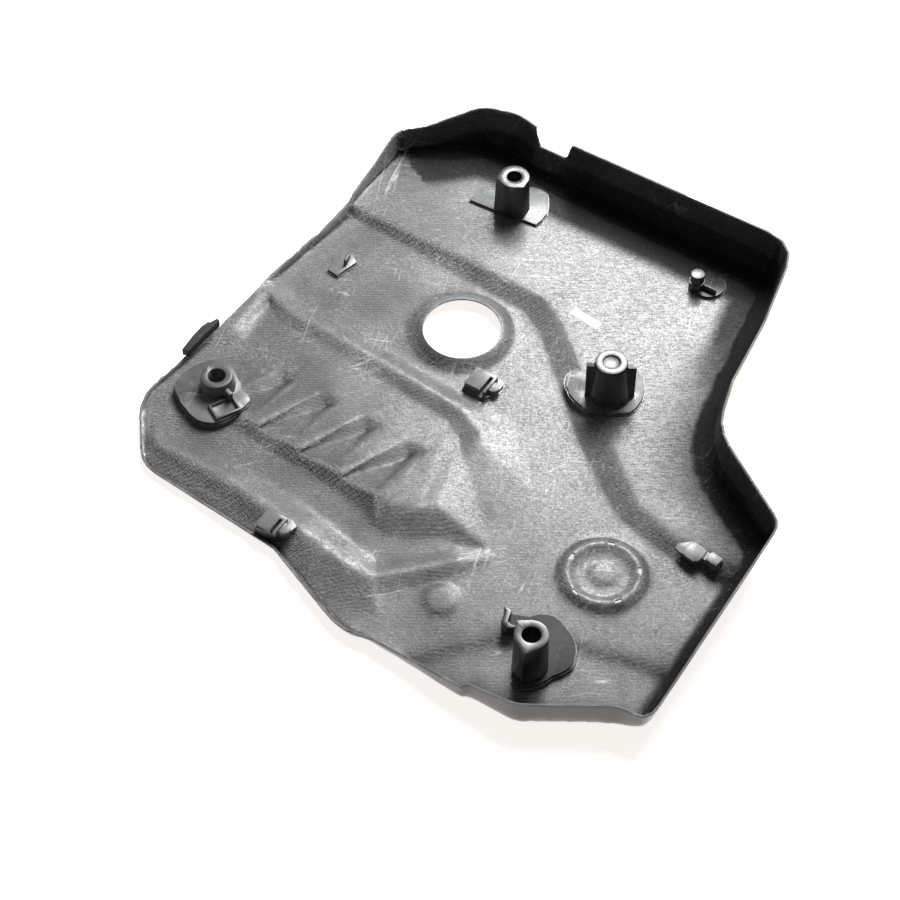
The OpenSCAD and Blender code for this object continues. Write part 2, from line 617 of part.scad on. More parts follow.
// The right clip overhangs the step of the plateau, held by a wedge of adhesive
right_clip_at = P(248, -56);
right_base = [[-23, -5], [-14.5, -7], [-10, -8.5], [-1.5, -10], [3, -6.5], [4.5, -1], [14.5, -6],
    [22, -5], [20, 8.5], [12.5, 9.5], [5.5, 7], [-7, 10], [-14, 10], [-19, 5], [-23, 1]];
right_tab = [[-14.5, -7], [-10, -8.5], [-1.5, -10], [3, -6.5], [4, 0], [4, 7.5], [-7, 10], [-14, 9.5]];
module right_clip() color(grey_plastic) placed() translate([right_clip_at[0], right_clip_at[1], upper_z]) {
    linear_extrude(plate_t) polygon(right_base);
    linear_extrude(plate_t + 1.6) polygon(right_tab);
    translate([8, -3.5, 0]) rotate(-8) cube([12, 11, 0.6 * clip_rise + plate_t]);
}
module right_clip_bond() color(adhesive) placed() difference() {
    translate([right_clip_at[0], right_clip_at[1], mid_floor + 3])
        linear_extrude(upper_z - mid_floor - 3)
            polygon([[-18, -2], [21, -2], [21, 9.5], [5.5, 9], [-7, 11.5], [-14.5, 11.5], [-20, 5]]);
    translate([0, 0, wall_t]) plateau();
}

module blank_label() color("white") placed()
    translate(Q(10, 138, plateau_floor)) rotate(-7)
        translate([-label_len / 2, -label_wid / 2, 0]) cube([label_len, label_wid, label_t]);

// Torn foam pad that sits over the low rim
pad_at = P(-295, -88);
pad_plan = [[-5, -29], [2, -27], [2, 0], [3.5, 22], [0, 23], [-3.5, 14], [-5, 15], [-7, 6], [-7, -8]];
module rim_pad() color(black_plastic) placed() translate([pad_at[0], pad_at[1], rim_low + bond_t])
    linear_extrude(pad_h) polygon(pad_plan);
module rim_pad_bond() color(adhesive) placed() translate([pad_at[0], pad_at[1], rim_low])
    linear_extrude(bond_t) polygon([[-4, -26], [1.5, -25], [1.5, 0], [3, 20], [0.5, 20], [-2, 0]]);

shell();
upper_post();
centre_post();
lower_post();
left_post();
locating_stub();
rear_clip();
middle_clip();
front_clip();
right_clip();
blank_label();
rim_pad();
upper_bond();
centre_bond();
lower_bond();
left_bond();
stub_bond();
rear_clip_bond();
middle_clip_bond();
front_clip_bond();
right_clip_bond();
rim_pad_bond();
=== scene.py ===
"""Hollow side of a moulded engine cover: woven shell, bonded posts and clips."""

import logging
import math
from dataclasses import dataclass, field
from enum import Enum

import bmesh
import bpy
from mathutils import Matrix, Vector, noise
from mathutils.bvhtree import BVHTree
from mathutils.kdtree import KDTree


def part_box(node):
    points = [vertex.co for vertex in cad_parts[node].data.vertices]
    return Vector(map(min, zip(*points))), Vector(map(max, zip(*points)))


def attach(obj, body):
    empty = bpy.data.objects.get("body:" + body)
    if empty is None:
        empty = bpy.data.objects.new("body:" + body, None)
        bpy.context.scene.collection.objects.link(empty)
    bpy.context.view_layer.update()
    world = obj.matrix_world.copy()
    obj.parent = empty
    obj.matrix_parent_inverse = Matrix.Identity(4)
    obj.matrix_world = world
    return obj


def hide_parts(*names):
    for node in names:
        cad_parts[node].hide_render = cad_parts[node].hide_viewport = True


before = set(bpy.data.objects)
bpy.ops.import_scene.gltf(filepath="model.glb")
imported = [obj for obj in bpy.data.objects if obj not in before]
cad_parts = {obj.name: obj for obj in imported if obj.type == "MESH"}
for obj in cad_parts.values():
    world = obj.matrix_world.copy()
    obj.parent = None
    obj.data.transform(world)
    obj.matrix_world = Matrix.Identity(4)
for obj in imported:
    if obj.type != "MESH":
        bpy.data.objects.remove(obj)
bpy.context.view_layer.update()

LOG = logging.getLogger("engine_cover")
MM = 0.001

# Twill cloth: how far a wall's height shifts the pattern along X and Y, so that upright faces show it too
WALL_LEAN = (0.9, 0.4)
TWILL_REPEAT = 4.0
TOWS_ON_TOP = 1.5
TOW_ARCH = 3.2
# Cloth laid in the mould, turned this many degrees from the outline
CLOTH_TURN = 102.0
# Colour of the painted shade in concave bends, below the walls, on the tall walls and beside the filler collar,
# and of the dark wrinkle lines
SHADE_AND_WRINKLE_COLOR = (0.012, 0.012, 0.013, 1.0)


class Skin(Enum):
    """Sides of the moulded wall, in the order of the shell's material slots."""

    INNER = 0
    OUTER = 1
    CUT_EDGE = 2


def ramp(value: float, start: float, width: float) -> float:
    """Return 0 up to a start, 1 from one width above it, and a straight rise between."""
    return min(1.0, max(0.0, (value - start) / width))


class Graph:
    """Small helper that adds nodes to one node tree and joins their sockets."""

    def __init__(self, tree: bpy.types.NodeTree) -> None:
        """Start on a tree whose nodes are to be added."""
        self.tree = tree
        self.column = 0

    def add(self, kind: str, **settings: object) -> bpy.types.Node:
        """Add a node.

        Args:
            kind: Blender's name of the node type.
            **settings: Properties of the node.

        Returns:
            The new node.
        """
        node = self.tree.nodes.new(kind)
        self.column += 1
        node.location = (170 * self.column, -90 * (self.column % 5))
        for name, value in settings.items():
            setattr(node, name, value)
        return node

    def feed(self, socket: bpy.types.NodeSocket, value: object) -> None:
        """Join a socket to another one, or set it to a plain value."""
        if isinstance(value, bpy.types.NodeSocket):
            self.tree.links.new(value, socket)
        else:
            socket.default_value = value

    def math(
        self, operation: str, a: object, b: object = 0.0, clamp: bool = False
    ) -> bpy.types.NodeSocket:
        """Return the result of one Math node."""
        node = self.add("ShaderNodeMath", operation=operation, use_clamp=clamp)
        self.feed(node.inputs[0], a)
        self.feed(node.inputs[1], b)
        return node.outputs[0]

    def scaled(self, vector: object, factors: tuple[float, float, float]) -> bpy.types.NodeSocket:
        """Return a vector multiplied axis by axis."""
        node = self.add("ShaderNodeVectorMath", operation="MULTIPLY")
        self.feed(node.inputs[0], vector)
        self.feed(node.inputs[1], factors)
        return node.outputs[0]

    def turned(self, vector: object, angle: float) -> bpy.types.NodeSocket:
        """Return a vector turned about Z by an angle in degrees."""
        node = self.add("ShaderNodeVectorRotate", rotation_type="Z_AXIS")
        self.feed(node.inputs["Vector"], vector)
        node.inputs["Angle"].default_value = math.radians(angle)
        return node.outputs[0]

    def noise(
        self, vector: object, scale: object, detail: float = 2.0, rough: float = 0.5
    ) -> bpy.types.NodeSocket:
        """Return a noise value from 0 to 1."""
        node = self.add("ShaderNodeTexNoise")
        self.feed(node.inputs["Vector"], vector)
        self.feed(node.inputs["Scale"], scale)
        node.inputs["Detail"].default_value = detail
        node.inputs["Roughness"].default_value = rough
        return node.outputs["Fac"]

    def step(
        self, value: object, low: float, high: float, to_low: float = 0.0, to_high: float = 1.0
    ) -> bpy.types.NodeSocket:
        """Return a value mapped from one range to another and kept inside it."""
        node = self.add("ShaderNodeMapRange", clamp=True)
        self.feed(node.inputs["Value"], value)
        node.inputs["From Min"].default_value = low
        node.inputs["From Max"].default_value = high
        node.inputs["To Min"].default_value = to_low
        node.inputs["To Max"].default_value = to_high
        return node.outputs["Result"]

    def mixed(self, factor: object, a: object, b: object) -> bpy.types.NodeSocket:
        """Return a mix of two colours."""
        node = self.add("ShaderNodeMix", data_type="RGBA")
        self.feed(node.inputs[0], factor)
        self.feed(node.inputs[6], a)
        self.feed(node.inputs[7], b)
        return node.outputs[2]

    def group(self, tree: bpy.types.NodeTree, **inputs: object) -> bpy.types.Node:
        """Place a node group and set its inputs by name."""
        node = self.add("ShaderNodeGroup", node_tree=tree)
        for name, value in inputs.items():
            self.feed(node.inputs[name.replace("_", " ")], value)
        return node

    def rest(self, value: object) -> bpy.types.NodeSocket:
        """Return what is left of 1 after a value."""
        return self.math("SUBTRACT", 1.0, value)

    def attribute(self, name: str) -> bpy.types.NodeSocket:
        """Return a number stored on the piece's own vertices."""
        node = self.add("ShaderNodeAttribute", attribute_name=name, attribute_type="GEOMETRY")
        return node.outputs["Fac"]

    def place(self) -> bpy.types.NodeSocket:
        """Return the object's own coordinates, in metres."""
        return self.add("ShaderNodeTexCoord").outputs["Object"]

    def bump(self, height: object, distance: float, strength: float, base: object = None) -> bpy.types.NodeSocket:
        """Return a normal bent by a height, over an earlier normal if one is given."""
        node = self.add("ShaderNodeBump")
        node.inputs["Strength"].default_value = strength
        node.inputs["Distance"].default_value = distance
        self.feed(node.inputs["Height"], height)
        if base is not None:
            self.feed(node.inputs["Normal"], base)
        return node.outputs["Normal"]


class EffectGroups:
    """Node groups that several finishes share, each built once."""

    def __init__(self) -> None:
        """Build the weave, resin, scratch and film groups."""
        self.weave = self._weave()
        self.resin = self._resin()
        self.scratches = self._scratches()
        self.film = self._film()

    @staticmethod
    def _new(
        name: str, inputs: dict[str, str], outputs: dict[str, str]
    ) -> tuple[bpy.types.NodeTree, Graph, bpy.types.Node, bpy.types.Node]:
        """Start a group.

        Args:
            name: The group's name.
            inputs: Socket types by input name.
            outputs: Socket types by output name.

        Returns:
            The tree, a graph on it, and its input and output nodes.
        """
        tree = bpy.data.node_groups.new(name, "ShaderNodeTree")
        for label, kind in inputs.items():
            tree.interface.new_socket(name=label, in_out="INPUT", socket_type=kind)
        for label, kind in outputs.items():
            tree.interface.new_socket(name=label, in_out="OUTPUT", socket_type=kind)
        graph = Graph(tree)
        return tree, graph, graph.add("NodeGroupInput"), graph.add("NodeGroupOutput")

    def _weave(self) -> bpy.types.NodeTree:
        """Twill cloth: which tow lies on top, and its rounded height."""
        tree, g, given, out = self._new(
            "woven_twill",
            {"Vector": "NodeSocketVector", "Tow": "NodeSocketFloat"},
            {"Height": "NodeSocketFloat", "Warp": "NodeSocketFloat"},
        )
        split = g.add("ShaderNodeSeparateXYZ")
        g.feed(split.inputs[0], given.outputs["Vector"])
        rise = split.outputs[2]
        leaned = [
            g.math("ADD", split.outputs[k], g.math("MULTIPLY", rise, lean)) for k, lean in enumerate(WALL_LEAN)]
        across, along = (g.math("DIVIDE", value, given.outputs["Tow"]) for value in leaned)
        cells = g.math("ADD", g.math("FLOOR", across), g.math("FLOOR", along))
        warp = g.math("LESS_THAN", g.math("FLOORED_MODULO", cells, TWILL_REPEAT), TOWS_ON_TOP)
        arches = []
        for value in (across, along):
            inside = g.math("SUBTRACT", g.math("FRACT", value), 0.5)
            square = g.math("MULTIPLY", inside, inside)
            arches.append(g.rest(g.math("MULTIPLY", square, TOW_ARCH)))
        weft_part = g.math("MULTIPLY", arches[1], g.rest(warp))
        height = g.math("ADD", g.math("MULTIPLY", arches[0], warp), weft_part)
        g.feed(out.inputs["Height"], height)
        g.feed(out.inputs["Warp"], warp)
        return tree

    def _resin(self) -> bpy.types.NodeTree:
        """Pooled and dry resin: broad clouds, fine creases and small pits."""
        tree, g, given, out = self._new(
            "pooled_resin",
            {"Vector": "NodeSocketVector", "Scale": "NodeSocketFloat"},
            {"Cloud": "NodeSocketFloat", "Crease": "NodeSocketFloat", "Pits": "NodeSocketFloat"},
        )
        at = given.outputs["Vector"]
        scale = given.outputs["Scale"]
        broad = g.noise(at, scale, 4.0, 0.6)
        g.feed(out.inputs["Cloud"], g.step(broad, 0.35, 0.65))
        drawn = g.scaled(g.turned(at, 24.0), (1.0, 3.2, 1.0))
        crease = g.noise(drawn, g.math("MULTIPLY", scale, 9.0), 5.0, 0.62)
        g.feed(out.inputs["Crease"], crease)
        pits = g.noise(at, g.math("MULTIPLY", scale, 24.0), 2.0, 0.5)
        g.feed(out.inputs["Pits"], g.step(pits, 0.62, 0.72))
        return tree

    def _film(self) -> bpy.types.NodeTree:
        """Hand-laid resin film: broad clouds, ridged creases, specks, grain and drawn streaks."""
        tree, g, given, out = self._new(
            "laid_film",
            {"Vector": "NodeSocketVector"},
            {"Cloud": "NodeSocketFloat", "Crease": "NodeSocketFloat", "Speck": "NodeSocketFloat",
                "Grain": "NodeSocketFloat", "Streak": "NodeSocketFloat"},
        )
        at = given.outputs["Vector"]
        broad = g.noise(at, 15.0, 5.0, 0.62)
        g.feed(out.inputs["Cloud"], g.step(broad, 0.36, 0.64))
        ridges = []
        for angle, stretch, scale in ((28.0, 2.4, 95.0), (-41.0, 3.0, 150.0)):
            drawn = g.scaled(g.turned(at, angle), (1.0, stretch, 1.0))
            wave = g.noise(drawn, scale, 4.0, 0.62)
            fold = g.math("ABSOLUTE", g.math("SUBTRACT", wave, 0.5))
            ridges.append(g.math("SUBTRACT", 1.0, g.math("MULTIPLY", fold, 3.2), clamp=True))
        g.feed(out.inputs["Crease"], g.math("MULTIPLY", g.math("ADD", ridges[0], ridges[1]), 0.5))
        g.feed(out.inputs["Speck"], g.noise(at, 430.0, 3.0, 0.7))
        thread = g.noise(g.scaled(g.turned(at, -33.0), (0.22, 1.0, 1.0)), 800.0, 1.0, 0.6)
        cross = g.noise(g.scaled(g.turned(at, 62.0), (0.4, 1.0, 1.0)), 700.0, 1.0, 0.6)
        both = g.math("ADD", g.math("MULTIPLY", thread, 0.6), g.math("MULTIPLY", cross, 0.4))
        g.feed(out.inputs["Grain"], g.step(both, 0.43, 0.6))
        streak = g.noise(g.scaled(g.turned(at, -33.0), (1.0, 7.0, 1.0)), 110.0, 3.0, 0.6)
        g.feed(out.inputs["Streak"], g.step(streak, 0.5, 0.68))
        return tree

    def _scratches(self) -> bpy.types.NodeTree:
        """Long thin scratches in two directions, broken by clouds."""
        tree, g, given, out = self._new(
            "thin_scratches",
            {"Vector": "NodeSocketVector", "Amount": "NodeSocketFloat"},
            {"Mask": "NodeSocketFloat"},
        )
        at = given.outputs["Vector"]
        parts = []
        for angle, stretch, seed in ((64.0, 22.0, 0.0), (-18.0, 16.0, 3.7), (38.0, 26.0, 8.1)):
            moved = g.add("ShaderNodeVectorMath", operation="ADD")
            g.feed(moved.inputs[0], g.scaled(g.turned(at, angle), (stretch, 1.0, 1.0)))
            moved.inputs[1].default_value = (seed, seed, 0.0)
            line = g.noise(moved.outputs[0], 4.0, 1.0, 0.4)
            thin = g.math("ABSOLUTE", g.math("SUBTRACT", line, 0.5))
            parts.append(g.step(thin, 0.0075, 0.002, 0.0, 1.0))
        joined = g.math("MAXIMUM", g.math("MAXIMUM", parts[0], parts[1]), parts[2])
        broken = g.step(g.noise(at, 16.0, 4.0, 0.65), 0.53, 0.66)
        mask = g.math("MULTIPLY", g.math("MULTIPLY", joined, broken), given.outputs["Amount"], clamp=True)
        g.feed(out.inputs["Mask"], mask)
        return tree


def new_material(name: str) -> tuple[bpy.types.Material, Graph, bpy.types.Node]:
    """Start a material.

    Args:
        name: The material's name.

    Returns:
        The material, a graph on its nodes, and its shader, joined to the output.
    """
    material = bpy.data.materials.new(name)
    material.use_nodes = True
    material.node_tree.nodes.clear()
    g = Graph(material.node_tree)
    out = g.add("ShaderNodeOutputMaterial")
    shader = g.add("ShaderNodeBsdfPrincipled")
    g.feed(out.inputs["Surface"], shader.outputs["BSDF"])
    return material, g, shader


@dataclass(frozen=True)
class Finish:
    """One finish: its plain values, and the pattern strengths that shape it."""

    name: str
    color: tuple[float, float, float]
    second: tuple[float, float, float]
    rough: tuple[float, float]
    grain: float = 60.0
    bump: float = 0.2
    bump_height: float = 0.0004
    scratch: float = 0.3
    scratch_color: tuple[float, float, float] = (0.6, 0.6, 0.6)
    coat: float = 0.0
    coat_rough: float = 0.1
    tow: float = 0.0
    tow_bump: float = 0.0
    tow_shade: float = 0.0

    def build(self, groups: EffectGroups) -> bpy.types.Material:
        """Make the material.

        Args:
            groups: The shared node groups.

        Returns:
            A material whose patterns follow the object's own coordinates.
        """
        material, g, shader = new_material(self.name)
        at = g.place()
        resin = g.group(groups.resin, Vector=at, Scale=self.grain)
        cloud = resin.outputs["Cloud"]
        creased = g.step(resin.outputs["Crease"], 0.3, 0.7, 0.0, 0.4)
        shade = g.math("ADD", g.math("MULTIPLY", cloud, 0.6), creased)
        color = g.mixed(shade, (*self.color, 1.0), (*self.second, 1.0))
        height = g.math("ADD", resin.outputs["Crease"], g.math("MULTIPLY", resin.outputs["Pits"], -0.5))
        normal = g.bump(height, self.bump_height, self.bump)
        roughness = g.step(shade, 0.0, 1.0, self.rough[0], self.rough[1])
        if self.tow:
            cloth = g.group(groups.weave, Vector=at, Tow=self.tow)
            lift = g.math("MULTIPLY", cloth.outputs["Warp"], self.tow_shade)
            color = g.mixed(lift, color, (*self.second, 1.0))
            normal = g.bump(cloth.outputs["Height"], self.bump_height, self.tow_bump, normal)
            roughness = g.math("ADD", roughness, g.math("MULTIPLY", cloth.outputs["Warp"], 0.06))
        if self.scratch:
            marks = g.group(groups.scratches, Vector=at, Amount=self.scratch)
            color = g.mixed(marks.outputs["Mask"], color, (*self.scratch_color, 1.0))
        g.feed(shader.inputs["Base Color"], color)
        g.feed(shader.inputs["Roughness"], roughness)
        g.feed(shader.inputs["Normal"], normal)
        shader.inputs["Coat Weight"].default_value = self.coat
        shader.inputs["Coat Roughness"].default_value = self.coat_rough
        return material


@dataclass(frozen=True)
class LaminateFinish(Finish):
    """Unpolished inner side: crinkled resin over cloth, with dry and wet patches, and with painted shade, painted
    highlights and painted glints in its colour.
    """

    crinkle: float = 0.5
    glint_fleck_strength: float = 0.5
    wrinkle: float = 0.3
    grain_glint: float = 0.5
    pale_and_highlight_color: tuple[float, float, float] = (0.3, 0.305, 0.31)

    def build(self, groups: EffectGroups) -> bpy.types.Material:
        """Make the material.

        Args:
            groups: The shared node groups.

        Returns:
            A material that also reads the shell's three stored numbers: the lighter rim band with painted glints,
            the bend, and the painted shade.
        """
        material, g, shader = new_material(self.name)
        at = g.place()
        rim, bend, painted_shade = (g.attribute(n) for n in ("rim", "bend", "painted_shade"))
        film = g.group(groups.film, Vector=at)
        cloud, crease, speck, grain, streak = (
            film.outputs[n] for n in ("Cloud", "Crease", "Speck", "Grain", "Streak"))
        cloth = g.group(groups.weave, Vector=g.turned(at, CLOTH_TURN), Tow=self.tow)
        open_side = g.math("MULTIPLY", g.rest(g.math("MULTIPLY", painted_shade, 0.9)), self.scratch)
        marks = g.group(groups.scratches, Vector=at, Amount=open_side)

        folds = g.step(crease, 0.3, 0.85)
        wet = g.math("ADD", g.math("MULTIPLY", cloud, 0.5), g.math("MULTIPLY", folds, 0.5))
        # Painted highlight: lighter on convex bends, added to the random wet patches
        edge_light = g.math("MULTIPLY", g.step(bend, -0.01, -0.05), 0.6)
        # Lighter band near the rim and painted glints, left out of the painted shade
        rim_and_glint = g.math("MULTIPLY", rim, g.rest(painted_shade))
        light = g.math("ADD", g.math("ADD", wet, edge_light), rim_and_glint, clamp=True)
        color = g.mixed(light, (*self.color, 1.0), (*self.second, 1.0))
        woven = g.math("MULTIPLY", cloth.outputs["Warp"], self.tow_shade)
        color = g.mixed(woven, color, (*self.pale_and_highlight_color, 1.0))
        # Fibre grain painted pale as glints of the fibres, most in the clouded patches
        dry = g.math("MULTIPLY", grain, g.step(cloud, 0.0, 1.0, 0.25, 1.0))
        color = g.mixed(g.math("MULTIPLY", dry, self.grain_glint), color, (*self.pale_and_highlight_color, 1.0))
        # Painted highlight on the sharper crests, broken by specks, with pale streaks on the rim band and its
        # painted glints
        crest_highlight = g.math("MULTIPLY", g.step(bend, -0.016, -0.065), g.step(speck, 0.35, 0.6, 0.2, 0.9))
        rim_streaks_and_highlight = g.math("MULTIPLY", g.math("MULTIPLY", rim_and_glint, g.math("ADD", streak, 0.3)), 1.1)
        rim_streaks_and_highlight = g.math("ADD", rim_streaks_and_highlight, crest_highlight, clamp=True)
        color = g.mixed(rim_streaks_and_highlight, color, (*self.pale_and_highlight_color, 1.0))
        # Painted shade: darker in concave bends, below the walls, on the tall walls and beside the filler collar;
        # random dark wrinkle lines join it
        shade_and_wrinkles = g.math("ADD", g.math("MULTIPLY", g.step(bend, 0.015, 0.07), 0.75),
            g.math("MULTIPLY", painted_shade, 0.92), clamp=True)
        wrinkles = g.math("MULTIPLY", g.step(crease, 0.72, 0.93), self.wrinkle)
        shade_and_wrinkles = g.math("MAXIMUM", shade_and_wrinkles, wrinkles)
        color = g.mixed(shade_and_wrinkles, color, SHADE_AND_WRINKLE_COLOR)
        # White flecks in the scratch colour, painted as glints, fewer in the painted shade
        glint_flecks = g.math("MULTIPLY", g.step(speck, 0.62, 0.7), g.step(cloud, 0.2, 0.9, 0.15, 0.9))
        glint_flecks = g.math("MULTIPLY", glint_flecks, g.rest(g.math("MULTIPLY", painted_shade, 0.75)))
        color = g.mixed(g.math("MULTIPLY", glint_flecks, self.glint_fleck_strength), color, (*self.scratch_color, 1.0))
        color = g.mixed(marks.outputs["Mask"], color, (*self.scratch_color, 1.0))
        g.feed(shader.inputs["Base Color"], color)
        # Less specular in the painted shade
        g.feed(shader.inputs["Specular IOR Level"], g.step(painted_shade, 0.0, 1.0, 0.5, 0.2))

        rough = g.step(wet, 0.1, 0.9, self.rough[1], self.rough[0])
        rough = g.math("ADD", rough, g.math("MULTIPLY", grain, 0.16))
        rough = g.math("ADD", rough, g.math("MULTIPLY", painted_shade, 0.42), clamp=True)
        g.feed(shader.inputs["Roughness"], rough)
        normal = g.bump(crease, self.bump_height, self.crinkle)
        normal = g.bump(speck, self.bump_height, self.bump, normal)
        normal = g.bump(cloth.outputs["Height"], 0.25 * self.bump_height, self.tow_bump, normal)
        normal = g.bump(marks.outputs["Mask"], 0.3 * self.bump_height, 0.6, normal)
        g.feed(shader.inputs["Normal"], normal)
        skin = g.math("MULTIPLY", g.step(grain, 0.2, 0.8, 1.0, 0.3), g.rest(shade_and_wrinkles))
        g.feed(shader.inputs["Coat Weight"], g.math("MULTIPLY", skin, self.coat))
        shader.inputs["Coat Roughness"].default_value = self.coat_rough
        return material


INNER_WEAVE = LaminateFinish("inner_woven_resin", (0.011, 0.0115, 0.013), (0.17, 0.172, 0.175), (0.33, 0.54),
    bump=1.0, bump_height=0.0022, scratch=0.85, scratch_color=(0.85, 0.86, 0.86),
    coat=0.8, coat_rough=0.26, tow=0.0012, tow_bump=0.8, tow_shade=0.28,
    crinkle=0.7, glint_fleck_strength=0.9, grain_glint=0.9, pale_and_highlight_color=(0.42, 0.425, 0.43))
OUTER_WEAVE = Finish("outer_lacquered_weave", (0.014, 0.014, 0.015), (0.06, 0.06, 0.062), (0.35, 0.45),
    grain=14.0, bump=0.02, bump_height=0.0002, scratch=0.0, coat=1.0, coat_rough=0.06,
    tow=0.002, tow_bump=0.05, tow_shade=0.55)
CUT_EDGE = Finish("trimmed_edge", (0.05, 0.05, 0.05), (0.3, 0.3, 0.3), (0.5, 0.8),
    grain=60.0, bump=0.4, scratch=0.6)
BLACK_PLASTIC = Finish("black_moulded_plastic", (0.012, 0.012, 0.013), (0.035, 0.035, 0.037), (0.28, 0.45),
    grain=50.0, bump=0.25, bump_height=0.0003, scratch=0.5, coat=0.3, coat_rough=0.15)
GREY_PLASTIC = Finish("grey_moulded_plastic", (0.05, 0.052, 0.052), (0.13, 0.135, 0.135), (0.35, 0.55),
    grain=50.0, bump=0.25, bump_height=0.0003, scratch=0.7, coat=0.3, coat_rough=0.2)
PLATE_PLASTIC = Finish("smeared_plate_plastic", (0.05, 0.052, 0.053), (0.24, 0.248, 0.25), (0.34, 0.5),
    grain=34.0, bump=0.6, bump_height=0.0012, scratch=1.0, scratch_color=(0.75, 0.78, 0.78),
    coat=0.5, coat_rough=0.2)
CUT_PLATE = Finish("dark_cut_plate", (0.02, 0.021, 0.022), (0.09, 0.093, 0.095), (0.6, 0.8),
    grain=34.0, bump=0.6, bump_height=0.0012, scratch=0.8, scratch_color=(0.5, 0.52, 0.52))
ADHESIVE = Finish("cured_adhesive", (0.03, 0.03, 0.032), (0.22, 0.23, 0.23), (0.25, 0.5),
    grain=90.0, bump=0.6, bump_height=0.0006, scratch=0.3, coat=0.5, coat_rough=0.15)
LABEL = Finish("blank_label_film", (0.95, 0.95, 0.95), (0.98, 0.98, 0.98), (0.3, 0.36),
    grain=40.0, bump=0.01, scratch=0.0, coat=0.5)
RUBBER = Finish("torn_rubber", (0.015, 0.015, 0.016), (0.05, 0.05, 0.052), (0.5, 0.8),
    grain=70.0, bump=0.8, bump_height=0.001, scratch=0.2)


def cad_copy(node: str) -> bmesh.types.BMesh:
    """Copy a CAD node's mesh, merge its loose triangles and clear flat edges.

    Args:
        node: The CAD node's name.

    Returns:
        A closed bmesh in the row frame.
    """
    bm = bmesh.new()
    bm.from_mesh(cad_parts[node].data)
    bmesh.ops.remove_doubles(bm, verts=bm.verts, dist=0.00002)
    bmesh.ops.dissolve_limit(bm, angle_limit=math.radians(0.6), verts=bm.verts, edges=bm.edges)
    return bm


def finish_piece(
    bm: bmesh.types.BMesh, name: str, materials: list[bpy.types.Material], sharp: float = 38.0
) -> bpy.types.Object:
    """Turn a bmesh into a piece of the object.

    Args:
        bm: The finished shape in the row frame. It is freed.
        name: The piece's name.
        materials: Its material slots in order.
        sharp: Edges that turn by more than this many degrees stay sharp.

    Returns:
        The object, riding on the root body.
    """
    bmesh.ops.triangulate(bm, faces=[f for f in bm.faces if len(f.verts) > 4])
    for face in bm.faces:
        face.smooth = True
    mesh = bpy.data.meshes.new(name)
    bm.to_mesh(mesh)
    bm.free()
    mesh.set_sharp_from_angle(angle=math.radians(sharp))
    for material in materials:
        mesh.materials.append(material)
    piece = bpy.data.objects.new(name, mesh)
    bpy.context.scene.collection.objects.link(piece)
    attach(piece, "root")
    LOG.info("%s: %d faces", name, len(mesh.polygons))
    return piece


